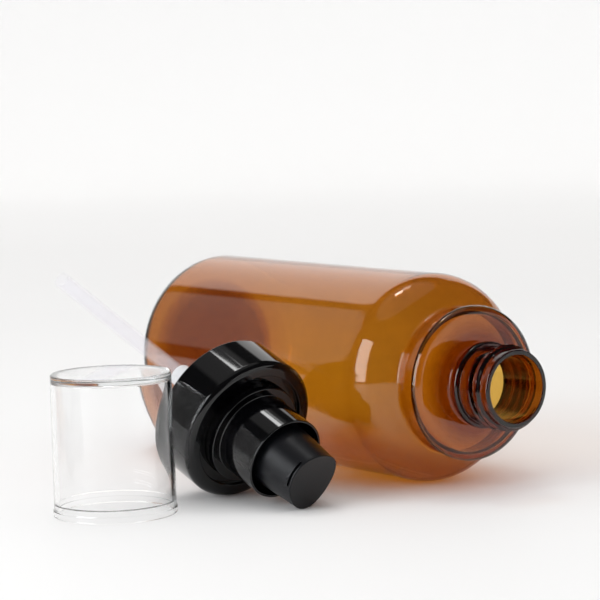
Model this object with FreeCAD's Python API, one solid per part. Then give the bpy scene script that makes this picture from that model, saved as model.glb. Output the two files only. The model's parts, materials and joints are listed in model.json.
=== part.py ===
import FreeCAD, Part
import math
import os

V = FreeCAD.Vector

# ---------------------------------------------------------------------------
# Pump oil bottle, laid out in three loose groups on a table at z = 0:
#   bottle   on its side, axis along +X, neck towards +X
#   pump     beside it, resting on its collar rim and on the actuator tip
#   overcap  standing on its open end
# Each group is drawn upright on the local Z axis and then laid out.
# All lengths in millimetres.
# ---------------------------------------------------------------------------

# ---- bottle (z = 0 at the base, neck up) ----
BODY_R = 29.5
BASE_CORNER = 7.0
BASE_RING_R = 20.7         # inside edge of the ring the bottle stands on
BASE_PUSH_UP = 3.6
SHOULDER_FOOT = 115.5      # where the body line meets the shoulder cone
SHOULDER_CURVE = 11.0
STEP_R = 20.6              # smaller cylinder between shoulder and rim
STEP_FOOT = 120.6
STEP_TOP = 130.1
RIM_R = 21.8               # thin rim round the step's flat top
RIM_FOOT = 127.7
RIM_CURVE = 0.9
STEP_CURVE = 1.2
STEP_ROOT_CURVE = 1.3
MOUTH = 146.6              # overall height
BODY_WALL = 0.9
BASE_WALL = 2.2
STEP_WALL = 1.3

# ---- 24 mm screw neck, 410 style ----
NECK_R = 10.7
NECK_BORE_R = 9.3
THREAD_R = 11.85
THREAD_PITCH = 3.175
THREAD_TURNS = 1.6
THREAD_TOP_GAP = 1.25      # mouth to the top of the first ridge
RIDGE_ROOT = 2.1
RIDGE_CREST = 0.9
BEAD_R = 12.0
BEAD_TOP = 11.4            # below the mouth
BEAD_HEIGHT = 2.1

# ---- overcap (z = 0 at the open end) ----
CAP_HEIGHT = 38.2
CAP_R_OPEN = 16.45
CAP_R_TOP = 16.25
CAP_WALL = 1.15
CAP_PLATE = 1.7
CAP_LIP_R = 16.75
CAP_LIP_HEIGHT = 1.6
CAP_REBATE = 0.45
CAP_REBATE_HEIGHT = 3.2

# ---- pump, upright; w = 0 is the plane of the bottle mouth ----
COLLAR_R = 20.9
COLLAR_FOOT = -16.0
COLLAR_FACE = -1.8
COLLAR_CURVE = 2.0
COLLAR_WALL = 1.25
COLLAR_PLATE = 1.4
WELL_R = 16.9              # round recess the overcap sits in
WELL_DEPTH = 1.2
SLEEVE_WALL = 1.1
SLEEVE_FOOT = -12.2
COLLAR_RIBS = 12
RIB_WIDTH = 1.0

CLOSURE_R = 14.3
CLOSURE_FOOT = -11.2
CLOSURE_THREAD_R = 12.06
CLOSURE_RIDGE_R = 11.0
CLOSURE_SHOULDER = 0.3
CLOSURE_BEAD = 0.15        # snap bead for the overcap
CLOSURE_BEAD_Z = -1.2
SEAT_R = 11.0              # recess round the pump body's flange
SEAT_FOOT = -0.5
TOWER_R = 11.85
TOWER_ROOT_CURVE = 0.4
TOWER_BORE_R = 11.05
TOWER_TOP = 14.3
LEDGE_UNDERSIDE = 2.25
LEDGE_THICKNESS = 1.2
LEDGE_HOLE_R = 8.5

GASKET_THICKNESS = 1.0
GASKET_R = 10.6
FLANGE_R = 10.9
FLANGE_TOP = 2.2
BARREL_R = 5.6
BARREL_BORE_R = 4.6
BARREL_FOOT = -26.0
GUIDE_BORE_R = 5.4
GUIDE_DEPTH = -1.5
CROWN_R = 7.2
CROWN_TOP = 5.0
CAGE_TOP = -24.6
CAGE_R = 2.35
CAGE_FOOT = -27.4
CAGE_NUBS = 3
NUB_R = 1.35
INLET_R = 1.1
SOCKET_R = 3.25
SOCKET_FOOT = -35.6
SOCKET_FLOOR = -30.2
VENT_R = 0.5

TUBE_R = 2.4
TUBE_BORE_R = 1.75
TUBE_END = -97.6

RING_R = 8.2               # lock ring that closes the pump body
RING_TOP = 6.3
RING_PLATE = 1.0
STEM_R = 3.2
STEM_BORE_R = 1.8
STEM_FOOT = -2.8
STEM_TOP = 21.0
RUNNING_GAP = 0.06

PISTON_TOP = -1.6
PISTON_FOOT = -9.0
PISTON_WAIST_R = 4.1
PISTON_BORE_R = 2.35
PISTON_LIP = 1.3
LOST_MOTION = 0.85

PIN_TOP = 2.4
PIN_SHANK_R = 1.6
PIN_VANE = 0.9
PIN_HEAD_R = 3.2
PIN_HEAD = 1.5
PIN_STUB_R = 2.1
PIN_FOOT = -13.6

SPRING_WIRE_R = 0.4
SPRING_R = 2.95
SPRING_COILS = 6.5
BALL_R = 1.6

ACT_R_FOOT = 9.62
ACT_R_TIP = 8.2
ACT_FOOT = 9.0
ACT_BLANK_TOP = 27.9       # height before the finger groove is cut
ACT_WALL = 1.1
ACT_PLATE_UNDER = 24.2
GROOVE_CENTRE = 25.85      # height of the finger groove on the axis
GROOVE_R = 25.0
GROOVE_SLOPE = 6.3         # rises towards the outlet
GROOVE_EDGE = 0.3
HUB_R = 4.7
HUB_FOOT = 12.2
HUB_GAP = 0.02
BORE_TOP = 25.0
OUTLET_LEVEL = 25.9
OUTLET_ANGLE = 247.0
OUTLET_R = 8.3
OUTLET_WIDTH = 7.6
OUTLET_HEIGHT = 0.8
OUTLET_DEPTH = 1.9
INSERT_THICKNESS = 0.6
INSERT_GAP = 0.02
CHANNEL_R = 0.35
CHANNEL_START = 24.95      # height at which the channel leaves the stem's bore
ORIFICE_R = 0.3

# ---- layout on the table ----
THREAD_START = 200.0
CAP_SPOT = (87.1, -91.6)
PUMP_SPOT = (97.2, -52.5)
PUMP_HEADING = 4.2


def profile(points):
    """Closed face in the XZ plane from (radius, height[, corner radius])."""
    corners = [(p[0], p[1], p[2] if len(p) > 2 else 0.0) for p in points]
    edges = []
    starts = []
    ends = []
    count = len(corners)
    mids = []
    for i in range(count):
        here = V(corners[i][0], 0, corners[i][1])
        before = V(corners[i - 1][0], 0, corners[i - 1][1])
        after = V(corners[(i + 1) % count][0], 0, corners[(i + 1) % count][1])
        radius = corners[i][2]
        if radius <= 0:
            starts.append(here)
            ends.append(here)
            mids.append(None)
            continue
        back = (before - here).normalize()
        ahead = (after - here).normalize()
        half = back.getAngle(ahead) / 2
        reach = radius / math.tan(half)
        bisector = (back + ahead).normalize()
        centre = here + bisector * (radius / math.sin(half))
        starts.append(here + back * reach)
        ends.append(here + ahead * reach)
        mids.append(centre - bisector * radius)
    for i in range(count):
        if mids[i] is not None:
            edges.append(Part.Arc(starts[i], mids[i], ends[i]).toShape())
        following = starts[(i + 1) % count]
        if ends[i].distanceToPoint(following) > 1e-7:
            edges.append(Part.makeLine(ends[i], following))
    return Part.Face(Part.Wire(Part.__sortEdges__(edges)))


def turned(points):
    """Solid of revolution about the local Z axis."""
    return profile(points).revolve(V(0, 0, 0), V(0, 0, 1), 360)


def rod(radius, z0, z1):
    return Part.makeCylinder(radius, z1 - z0, V(0, 0, z0))


def ring(outer, inner, z0, z1):
    return rod(outer, z0, z1).cut(rod(inner, z0 - 1, z1 + 1))


def around(shape, count, turn=360.0):
    """The same shape repeated over one turn about the local Z axis."""
    copies = []
    for i in range(count):
        piece = shape.copy()
        piece.rotate(V(0, 0, 0), V(0, 0, 1), turn * i / count)
        copies.append(piece)
    return copies


def helical_ridge(foot_r, crest_r, z0, turns, root=RIDGE_ROOT, crest=RIDGE_CREST):
    """Trapezoid ridge wound up the Z axis; z0 is the middle of its first section."""
    helix = Part.makeHelix(THREAD_PITCH, THREAD_PITCH * turns, foot_r)
    helix.translate(V(0, 0, z0))
    section = Part.makePolygon([
        V(foot_r, 0, z0 - root / 2),
        V(crest_r, 0, z0 - crest / 2),
        V(crest_r, 0, z0 + crest / 2),
        V(foot_r, 0, z0 + root / 2),
        V(foot_r, 0, z0 - root / 2),
    ])
    return Part.Wire(helix).makePipeShell([section], True, True)


def make_bottle():
    step_in = STEP_R - STEP_WALL
    outer = turned([
        (0, BASE_PUSH_UP),
        (BASE_RING_R * 0.45, BASE_PUSH_UP - 0.4, 12.0),
        (BASE_RING_R, 0, 1.6),
        (BODY_R, 0, BASE_CORNER),
        (BODY_R, SHOULDER_FOOT, SHOULDER_CURVE),
        (STEP_R, STEP_FOOT, STEP_ROOT_CURVE),
        (STEP_R, RIM_FOOT, 0.5),
        (RIM_R, RIM_FOOT, RIM_CURVE),
        (RIM_R, STEP_TOP, STEP_CURVE),
        (NECK_R, STEP_TOP + 0.4, 1.0),
        (NECK_R, MOUTH, 0.5),
        (0, MOUTH),
    ])
    bead = turned([
        (NECK_R - 0.6, MOUTH - BEAD_TOP - BEAD_HEIGHT),
        (BEAD_R, MOUTH - BEAD_TOP - BEAD_HEIGHT, 0.5),
        (BEAD_R, MOUTH - BEAD_TOP, 0.8),
        (NECK_R - 0.6, MOUTH - BEAD_TOP),
    ])
    rise = THREAD_PITCH * THREAD_TURNS
    low = MOUTH - THREAD_TOP_GAP - RIDGE_ROOT / 2 - rise
    thread = helical_ridge(NECK_R - 0.3, THREAD_R, low, THREAD_TURNS)
    thread.rotate(V(0, 0, 0), V(0, 0, 1), THREAD_START)
    inner = turned([
        (0, BASE_PUSH_UP + BASE_WALL),
        (BASE_RING_R * 0.45, BASE_PUSH_UP + BASE_WALL - 0.4, 12.0),
        (BASE_RING_R + 1.0, BASE_WALL * 0.6, 1.6),
        (BODY_R - BODY_WALL, BASE_WALL * 0.6, BASE_CORNER - 1.0),
        (BODY_R - BODY_WALL, SHOULDER_FOOT - 0.5, SHOULDER_CURVE - BODY_WALL),
        (step_in, STEP_FOOT - 0.3, STEP_ROOT_CURVE + 1.0),
        (step_in, STEP_TOP - STEP_WALL, 1.6),
        (NECK_BORE_R, STEP_TOP - STEP_WALL + 0.4, 1.4),
        (NECK_BORE_R, MOUTH + 1),
        (0, MOUTH + 1),
    ])
    shape = outer.fuse([bead, thread]).cut(inner)
    return shape.removeSplitter()


def make_overcap():
    lip_in = CAP_R_OPEN - CAP_WALL + CAP_REBATE
    shell = turned([
        (0, CAP_HEIGHT),
        (CAP_R_TOP, CAP_HEIGHT, 0.5),
        (CAP_R_OPEN, CAP_LIP_HEIGHT + 0.5),
        (CAP_LIP_R, CAP_LIP_HEIGHT, 0.2),
        (CAP_LIP_R, 0, 0.3),
        (lip_in, 0, 0.2),
        (lip_in, CAP_REBATE_HEIGHT),
        (CAP_R_OPEN - CAP_WALL, CAP_REBATE_HEIGHT + 0.3),
        (CAP_R_TOP - CAP_WALL, CAP_HEIGHT - CAP_PLATE, 0.8),
        (0, CAP_HEIGHT - CAP_PLATE),
    ])
    return shell


def make_collar_shell():
    floor = COLLAR_FACE - WELL_DEPTH
    under = floor - COLLAR_PLATE
    hole = CLOSURE_R + 0.02
    shell = turned([
        (COLLAR_R - COLLAR_WALL, COLLAR_FOOT),
        (COLLAR_R, COLLAR_FOOT, 0.4),
        (COLLAR_R, COLLAR_FACE, COLLAR_CURVE),
        (WELL_R, COLLAR_FACE, 0.25),
        (WELL_R, floor, 0.2),
        (hole, floor, 0.2),
        (hole, SLEEVE_FOOT),
        (hole + SLEEVE_WALL, SLEEVE_FOOT),
        (hole + SLEEVE_WALL, under),
        (COLLAR_R - COLLAR_WALL, under, 0.8),
    ])
    span = COLLAR_R - COLLAR_WALL - hole - SLEEVE_WALL + 0.8
    rib = Part.makeBox(span, RIB_WIDTH, under - SLEEVE_FOOT - 1.0 + 0.3)
    rib.translate(V(hole + SLEEVE_WALL - 0.4, -RIB_WIDTH / 2, SLEEVE_FOOT + 1.0))
    return shell.fuse(around(rib, COLLAR_RIBS)).removeSplitter()


def make_closure():
    ledge_top = LEDGE_UNDERSIDE + LEDGE_THICKNESS
    body = turned([
        (CLOSURE_THREAD_R, CLOSURE_FOOT, 0.3),
        (CLOSURE_R, CLOSURE_FOOT, 0.3),
        (CLOSURE_R, CLOSURE_BEAD_Z - 0.5),
        (CLOSURE_R + CLOSURE_BEAD, CLOSURE_BEAD_Z, 0.2),
        (CLOSURE_R, CLOSURE_BEAD_Z + 0.5),
        (CLOSURE_R, CLOSURE_SHOULDER, 0.3),
        (TOWER_R, CLOSURE_SHOULDER, TOWER_ROOT_CURVE),
        (TOWER_R, TOWER_TOP, 0.35),
        (TOWER_BORE_R, TOWER_TOP, 0.35),
        (TOWER_BORE_R, ledge_top, 0.4),
        (LEDGE_HOLE_R, ledge_top),
        (LEDGE_HOLE_R, LEDGE_UNDERSIDE),
        (SEAT_R, LEDGE_UNDERSIDE, 0.2),
        (SEAT_R, SEAT_FOOT),
        (CLOSURE_THREAD_R, SEAT_FOOT - 0.5),
    ])
    start = -THREAD_TOP_GAP - RIDGE_ROOT / 2 - THREAD_PITCH * 2.0
    thread = helical_ridge(CLOSURE_THREAD_R + 0.3, CLOSURE_RIDGE_R,
                           start - THREAD_PITCH / 2, 1.5, 1.9, 0.7)
    return body.fuse(thread).removeSplitter()


def make_gasket():
    return ring(GASKET_R, BARREL_R + RUNNING_GAP, 0.05, GASKET_THICKNESS - 0.02)


def make_housing():
    outer = turned([
        (0, CROWN_TOP),
        (CROWN_R, CROWN_TOP, 0.4),
        (CROWN_R, FLANGE_TOP),
        (FLANGE_R, FLANGE_TOP, 0.2),
        (FLANGE_R, GASKET_THICKNESS, 0.2),
        (BARREL_R, GASKET_THICKNESS),
        (BARREL_R, BARREL_FOOT, 1.2),
        (SOCKET_R, BARREL_FOOT - 2.2, 0.8),
        (SOCKET_R, SOCKET_FOOT, 0.3),
        (0, SOCKET_FOOT),
    ])
    inner = turned([
        (0, CROWN_TOP + 1),
        (GUIDE_BORE_R, CROWN_TOP + 1),
        (GUIDE_BORE_R, GUIDE_DEPTH),
        (BARREL_BORE_R, GUIDE_DEPTH - 0.3),
        (BARREL_BORE_R, CAGE_TOP),
        (CAGE_R, CAGE_TOP),
        (CAGE_R, CAGE_FOOT),
        (INLET_R, CAGE_FOOT - 1.0),
        (INLET_R, SOCKET_FLOOR),
        (TUBE_R, SOCKET_FLOOR),
        (TUBE_R, SOCKET_FOOT - 1),
        (0, SOCKET_FOOT - 1),
    ])
    nub = Part.makeBox(CAGE_R - NUB_R + 0.3, 0.7, 0.6, V(NUB_R, -0.35, CAGE_TOP - 0.7))
    vent = Part.makeCylinder(VENT_R, BARREL_R + 1, V(0, 0, -2.9), V(1, 0, 0))
    shape = outer.cut(inner).cut(around(vent, 2))
    return shape.fuse(around(nub, CAGE_NUBS)).removeSplitter()


def make_lock_ring():
    bore = STEM_R + RUNNING_GAP
    ring_under = RING_TOP - RING_PLATE
    return turned([
        (bore, RING_TOP, 0.2),
        (RING_R, RING_TOP, 0.5),
        (RING_R, FLANGE_TOP + 0.02, 0.2),
        (CROWN_R + 0.02, FLANGE_TOP + 0.02),
        (CROWN_R + 0.02, ring_under),
        (GUIDE_BORE_R - 0.02, ring_under),
        (GUIDE_BORE_R - 0.02, GUIDE_DEPTH + 0.1, 0.3),
        (STEM_R + 0.9, GUIDE_DEPTH + 0.1),
        (STEM_R + 0.9, ring_under - 0.6),
        (bore, ring_under - 1.2),
    ])


def make_stem():
    return turned([
        (STEM_BORE_R, STEM_FOOT),
        (STEM_R, STEM_FOOT, 0.2),
        (STEM_R, STEM_TOP, 0.3),
        (STEM_BORE_R, STEM_TOP, 0.2),
    ])


def make_piston():
    seal_r = BARREL_BORE_R - RUNNING_GAP
    pocket = STEM_FOOT - LOST_MOTION
    return turned([
        (STEM_R + RUNNING_GAP, PISTON_TOP),
        (seal_r - 0.3, PISTON_TOP, 0.2),
        (seal_r, PISTON_TOP - PISTON_LIP, 0.2),
        (PISTON_WAIST_R, PISTON_TOP - PISTON_LIP - 0.6),
        (PISTON_WAIST_R, PISTON_FOOT + PISTON_LIP + 0.6),
        (seal_r, PISTON_FOOT + PISTON_LIP, 0.2),
        (seal_r - 0.3, PISTON_FOOT, 0.2),
        (PISTON_BORE_R + 0.6, PISTON_FOOT),
        (PISTON_BORE_R, PISTON_FOOT + 0.6),
        (PISTON_BORE_R, pocket),
        (STEM_R + RUNNING_GAP, pocket),
    ])


def make_valve_pin():
    head_top = PISTON_FOOT - 0.05
    pin = turned([
        (0, PIN_TOP),
        (PIN_SHANK_R - 0.5, PIN_TOP),
        (PIN_SHANK_R - 0.5, STEM_FOOT + 0.6),
        (PIN_SHANK_R, STEM_FOOT),
        (PIN_SHANK_R, head_top, 0.4),
        (PIN_HEAD_R, head_top - 0.3, 0.3),
        (PIN_HEAD_R, head_top - PIN_HEAD, 0.2),
        (PIN_STUB_R, head_top - PIN_HEAD),
        (PIN_STUB_R, PIN_FOOT, 0.5),
        (0, PIN_FOOT),
    ])
    tall = PIN_TOP - STEM_FOOT
    vane = Part.makeBox(2 * STEM_BORE_R - 0.04, PIN_VANE, tall,
                        V(-STEM_BORE_R + 0.02, -PIN_VANE / 2, STEM_FOOT))
    trim = rod(STEM_BORE_R - 0.02, STEM_FOOT, PIN_TOP)
    vanes = [v.common(trim) for v in around(vane, 2, 180.0)]
    return pin.fuse(vanes).removeSplitter()


def make_spring():
    top = PISTON_FOOT - 0.05 - PIN_HEAD - SPRING_WIRE_R - 0.03
    foot = CAGE_TOP + SPRING_WIRE_R + 0.03
    pitch = (top - foot) / SPRING_COILS
    helix = Part.makeHelix(pitch, top - foot, SPRING_R)
    helix.translate(V(0, 0, foot))
    section = Part.Wire(Part.makeCircle(SPRING_WIRE_R, V(SPRING_R, 0, foot), V(0, 1, 0)))
    return Part.Wire(helix).makePipeShell([section], True, True)


def make_ball():
    seat_half = math.atan((CAGE_R - INLET_R) / 1.0)
    # resting on the seat cone: centre above the cone by the ball radius
    tip = CAGE_FOOT - 1.0 - INLET_R / math.tan(seat_half)
    height = tip + (BALL_R + 0.03) / math.sin(seat_half)
    return Part.makeSphere(BALL_R, V(0, 0, height))


def make_dip_tube():
    return ring(TUBE_R, TUBE_BORE_R, TUBE_END, SOCKET_FLOOR - 0.05)


def outlet_block(back, front, gap):
    """Block with rounded ends lying across the outlet direction, +X before turning."""
    half = OUTLET_HEIGHT / 2 - gap
    side = OUTLET_WIDTH / 2 - OUTLET_HEIGHT / 2
    deep = front - back
    block = Part.makeBox(deep, 2 * side, 2 * half, V(back, -side, OUTLET_LEVEL - half))
    ends = [Part.makeCylinder(half, deep, V(back, y, OUTLET_LEVEL), V(1, 0, 0)) for y in (-side, side)]
    return block.fuse(ends).removeSplitter()


def finger_groove():
    """Round bar whose underside hollows the actuator's top and rises towards the outlet."""
    slope = math.radians(GROOVE_SLOPE)
    along = V(math.cos(slope), 0, math.sin(slope))
    middle = V(0, 0, GROOVE_CENTRE + GROOVE_R / math.cos(slope))
    return Part.makeCylinder(GROOVE_R, 60, middle - along * 30, along)


def make_actuator():
    shell = turned([
        (0, ACT_BLANK_TOP),
        (ACT_R_TIP, ACT_BLANK_TOP),
        (ACT_R_FOOT, ACT_FOOT, 0.3),
        (ACT_R_FOOT - ACT_WALL, ACT_FOOT, 0.2),
        (ACT_R_TIP - ACT_WALL, ACT_PLATE_UNDER, 0.8),
        (HUB_R, ACT_PLATE_UNDER, 0.5),
        (HUB_R, HUB_FOOT, 0.3),
        (STEM_R + HUB_GAP, HUB_FOOT, 0.2),
        (STEM_R + HUB_GAP, STEM_TOP + 0.05),
        (STEM_BORE_R, STEM_TOP + 0.05),
        (STEM_BORE_R, BORE_TOP),
        (0, BORE_TOP),
    ])
    shell = shell.cut(finger_groove())
    rim = [e for e in shell.Edges if e.BoundBox.ZMin > ACT_PLATE_UNDER + 0.3 and e.BoundBox.XLength > HUB_R]
    shell = shell.makeFillet(GROOVE_EDGE, rim)
    pocket = outlet_block(OUTLET_R - OUTLET_DEPTH, OUTLET_R + 2, 0.0)
    start = V(0, 0, CHANNEL_START)
    run = V(OUTLET_R - OUTLET_DEPTH + 0.2, 0, OUTLET_LEVEL) - start
    channel = Part.makeCylinder(CHANNEL_R, run.Length, start, run)
    shape = shell.cut([pocket, channel])
    shape.rotate(V(0, 0, 0), V(0, 0, 1), OUTLET_ANGLE)
    return shape.removeSplitter()


def make_nozzle_insert():
    back = OUTLET_R - OUTLET_DEPTH + INSERT_GAP
    plug = outlet_block(back, back + INSERT_THICKNESS, INSERT_GAP)
    orifice = Part.makeCylinder(ORIFICE_R, 2 * INSERT_THICKNESS, V(back - 0.3, 0, OUTLET_LEVEL), V(1, 0, 0))
    shape = plug.cut(orifice)
    shape.rotate(V(0, 0, 0), V(0, 0, 1), OUTLET_ANGLE)
    return shape


def lay_bottle(shape):
    """Tip the bottle over so that its axis runs along +X and it rests on z = 0."""
    turn = FreeCAD.Rotation(V(0, 1, 0), 90)
    return moved(shape, FreeCAD.Placement(V(0, 0, BODY_R), turn))


def leaned(shape, tilt):
    """The pump leaned by a tilt in degrees, tip down, with its collar rim touching z = 0."""
    lean = math.radians(tilt)
    rim_w = COLLAR_FACE - COLLAR_CURVE
    rim_r = COLLAR_R - COLLAR_CURVE
    height = rim_w * math.sin(lean) + rim_r * math.cos(lean) + COLLAR_CURVE
    over = FreeCAD.Rotation(V(0, 1, 0), 90 + tilt)
    heading = FreeCAD.Rotation(V(0, 0, 1), PUMP_HEADING)
    spot = V(PUMP_SPOT[0], PUMP_SPOT[1], height)
    return moved(shape, FreeCAD.Placement(spot, heading.multiply(over)))


def resting_tilt(actuator):
    """Tilt at which the actuator's rim touches z = 0 as well, found by halving."""
    below = Part.makePlane(400, 400, V(-200, -200, -50))
    low, high = 15.0, 30.0
    for _ in range(18):
        middle = (low + high) / 2
        gap = leaned(actuator, middle).distToShape(below)[0] - 50
        if gap > 0:
            low = middle
        else:
            high = middle
    return low


def lay_pump(shape):
    return leaned(shape, PUMP_TILT)


def lay_cap(shape):
    """Stand the overcap on its open end."""
    return moved(shape, FreeCAD.Placement(V(CAP_SPOT[0], CAP_SPOT[1], 0), FreeCAD.Rotation()))


def moved(shape, placement):
    result = shape.copy()
    result.Placement = placement.multiply(result.Placement)
    return result


PIECES = [
    ("bottle", make_bottle, lay_bottle),
    ("overcap", make_overcap, lay_cap),
    ("collar_shell", make_collar_shell, lay_pump),
    ("closure", make_closure, lay_pump),
    ("gasket", make_gasket, lay_pump),
    ("pump_housing", make_housing, lay_pump),
    ("lock_ring", make_lock_ring, lay_pump),
    ("stem", make_stem, lay_pump),
    ("piston", make_piston, lay_pump),
    ("valve_pin", make_valve_pin, lay_pump),
    ("return_spring", make_spring, lay_pump),
    ("check_ball", make_ball, lay_pump),
    ("dip_tube", make_dip_tube, lay_pump),
    ("actuator", make_actuator, lay_pump),
    ("nozzle_insert", make_nozzle_insert, lay_pump),
]

PUMP_TILT = resting_tilt(make_actuator())
print("pump tilt %.5f" % PUMP_TILT)
os.makedirs("parts", exist_ok=True)
for name, make, lay in PIECES:
    shape = lay(make())
    solids = shape.Solids
    print(name, "valid", shape.isValid(), "solids", len(solids), "volume %.1f" % shape.Volume)
    if len(solids) == 1:
        shape = solids[0]
    shape.exportStep("parts/" + name + ".step")
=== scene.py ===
import bmesh
import bpy
import json
import math
from mathutils import Matrix, Vector


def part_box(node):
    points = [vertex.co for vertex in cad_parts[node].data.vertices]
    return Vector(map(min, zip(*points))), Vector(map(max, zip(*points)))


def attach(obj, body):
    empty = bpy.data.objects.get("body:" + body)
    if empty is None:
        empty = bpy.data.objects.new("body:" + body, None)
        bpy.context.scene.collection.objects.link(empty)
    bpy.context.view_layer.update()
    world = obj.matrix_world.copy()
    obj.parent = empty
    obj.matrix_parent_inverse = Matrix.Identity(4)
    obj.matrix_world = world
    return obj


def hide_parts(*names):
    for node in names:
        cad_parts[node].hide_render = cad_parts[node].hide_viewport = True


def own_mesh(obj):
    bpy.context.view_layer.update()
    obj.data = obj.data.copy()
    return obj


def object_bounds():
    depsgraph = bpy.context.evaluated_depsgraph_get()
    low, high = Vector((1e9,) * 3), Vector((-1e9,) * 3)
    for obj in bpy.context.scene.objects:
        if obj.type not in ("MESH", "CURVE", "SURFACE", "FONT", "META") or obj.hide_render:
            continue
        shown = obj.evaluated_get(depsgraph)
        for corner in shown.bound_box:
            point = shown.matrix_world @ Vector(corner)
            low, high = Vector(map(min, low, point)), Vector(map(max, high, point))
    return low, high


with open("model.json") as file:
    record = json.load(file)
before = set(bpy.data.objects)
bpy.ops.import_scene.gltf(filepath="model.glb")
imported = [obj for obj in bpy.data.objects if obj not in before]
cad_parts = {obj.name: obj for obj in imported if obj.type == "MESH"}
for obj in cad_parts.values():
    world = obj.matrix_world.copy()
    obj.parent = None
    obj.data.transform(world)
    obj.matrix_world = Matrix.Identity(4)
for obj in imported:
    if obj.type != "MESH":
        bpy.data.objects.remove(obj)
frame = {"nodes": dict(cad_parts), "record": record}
cad_low, cad_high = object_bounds()

# Lengths below are in millimetres on a local axis and are scaled to metres when a mesh is made.
MM = 0.001

# ---- bottle, upright: 0 at the base, neck up ----
BODY_R = 29.5
BASE_CORNER = 7.0
BASE_RING_R = 20.7
BASE_PUSH_UP = 3.6
SHOULDER_FOOT = 115.5
SHOULDER_CURVE = 11.0
STEP_R = 20.6
STEP_FOOT = 120.6
STEP_TOP = 130.1
RIM_R = 21.6
RIM_FOOT = 127.6
RIM_CURVE = 0.5
RIM_RISE = 0.5          # height over which the wall swells out into the rim
STEP_CURVE = 2.2
STEP_ROOT_CURVE = 1.3
MOUTH = 146.6
BODY_WALL = 0.9
BASE_WALL = 2.2
STEP_WALL = 1.3
NECK_R = 10.7
NECK_BORE_R = 9.3
THREAD_R = 11.85
THREAD_PITCH = 3.175
THREAD_TURNS = 1.6
THREAD_TOP_GAP = 1.25
THREAD_START = 200.0    # degrees about the local axis
RIDGE_ROOT = 1.89       # width of the ridge at its foot and at its crest
RIDGE_CREST = 0.72
RIDGE_SPAN = 2.1        # width the CAD gives the ridge, which sets how low the thread starts
BEAD_R = 12.0
BEAD_TOP = 11.4
BEAD_HEIGHT = 2.1

# ---- overcap: 0 at the open end ----
CAP_HEIGHT = 38.2
CAP_R_OPEN = 16.45
CAP_R_TOP = 16.25
CAP_WALL = 1.15
CAP_PLATE = 1.7
CAP_LIP_R = 16.75
CAP_LIP_HEIGHT = 1.6
CAP_REBATE = 0.45
CAP_REBATE_HEIGHT = 3.2

# ---- pump: 0 at the plane of the bottle mouth, actuator up ----
COLLAR_R = 20.9
COLLAR_FOOT = -16.0
COLLAR_FACE = -1.8
COLLAR_CURVE = 2.0
COLLAR_WALL = 1.25
COLLAR_PLATE = 1.4
WELL_R = 16.9
WELL_DEPTH = 1.2
SLEEVE_WALL = 1.1
SLEEVE_FOOT = -12.2
COLLAR_RIBS = 12
RIB_WIDTH = 1.0
CLOSURE_R = 14.3
CLOSURE_FOOT = -11.2
CLOSURE_THREAD_R = 12.06
CLOSURE_RIDGE_R = 11.0
CLOSURE_TURNS = 1.5
CLOSURE_THREAD_DROP = 2.5   # pitches from the thread's top to its start
CLOSURE_RIDGE_ROOT = 1.7
CLOSURE_RIDGE_CREST = 0.6
CLOSURE_SHOULDER = 0.3
CLOSURE_BEAD = 0.15
CLOSURE_BEAD_Z = -1.2
SEAT_R = 11.0
SEAT_FOOT = -0.5
TOWER_R = 11.85
TOWER_ROOT_CURVE = 0.4
TOWER_BORE_R = 11.05
TOWER_TOP = 14.3
LEDGE_UNDERSIDE = 2.25
LEDGE_THICKNESS = 1.2
LEDGE_HOLE_R = 8.5
FLANGE_R = 10.9
FLANGE_TOP = 2.2
GASKET_THICKNESS = 1.0
BARREL_R = 5.6
BARREL_BORE_R = 4.6
BARREL_FOOT = -26.0
GUIDE_BORE_R = 5.4
GUIDE_DEPTH = -1.5
CROWN_R = 7.2
CROWN_TOP = 5.0
CAGE_TOP = -24.6
CAGE_R = 2.35
CAGE_FOOT = -27.4
INLET_R = 1.1
SOCKET_R = 3.25
SOCKET_FOOT = -35.6
SOCKET_FLOOR = -30.2
TUBE_R = 2.4
TUBE_BORE_R = 1.75
TUBE_END = -97.6
STEM_R = 3.2
STEM_BORE_R = 1.8
STEM_TOP = 21.0
PISTON_FOOT = -9.0
PIN_HEAD = 1.5
SPRING_WIRE_R = 0.4
SPRING_R = 2.95
SPRING_COILS = 6.5
SPRING_GAP = 0.03       # between the coil's ends and what they press on
PIN_GAP = 0.05          # between the piston's foot and the pin's head
ACT_R_FOOT = 9.62
ACT_R_TIP = 8.2
ACT_FOOT = 9.0
ACT_BLANK_TOP = 27.9
ACT_WALL = 1.1
ACT_PLATE_UNDER = 24.2
GROOVE_CENTRE = 25.85
GROOVE_R = 25.0
GROOVE_SLOPE = 6.3
GROOVE_EDGE = 0.3
HUB_R = 4.7
HUB_FOOT = 12.2
BORE_TOP = 25.0
OUTLET_LEVEL = 25.9
OUTLET_ANGLE = 247.0
OUTLET_R = 8.3
OUTLET_WIDTH = 7.6
OUTLET_HEIGHT = 0.8
OUTLET_DEPTH = 1.9

HAIR = 0.02             # gap kept between two walls that would share one face
ARC_STEP = 9.0          # degrees of turn between two points of a rounded corner
THREAD_STEP = 0.14      # spacing of rows along a threaded wall
THREAD_FADE = 0.07      # share of a turn over which a thread runs out
BOTTLE_POINTS = 320     # points round each turned piece
SHELL_POINTS = 288
CLOSURE_POINTS = 256
HOUSING_POINTS = 160
TUBE_POINTS = 96
SHARP_ANGLE = 32.0      # degrees between two faces that makes their edge a sharp one


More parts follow.
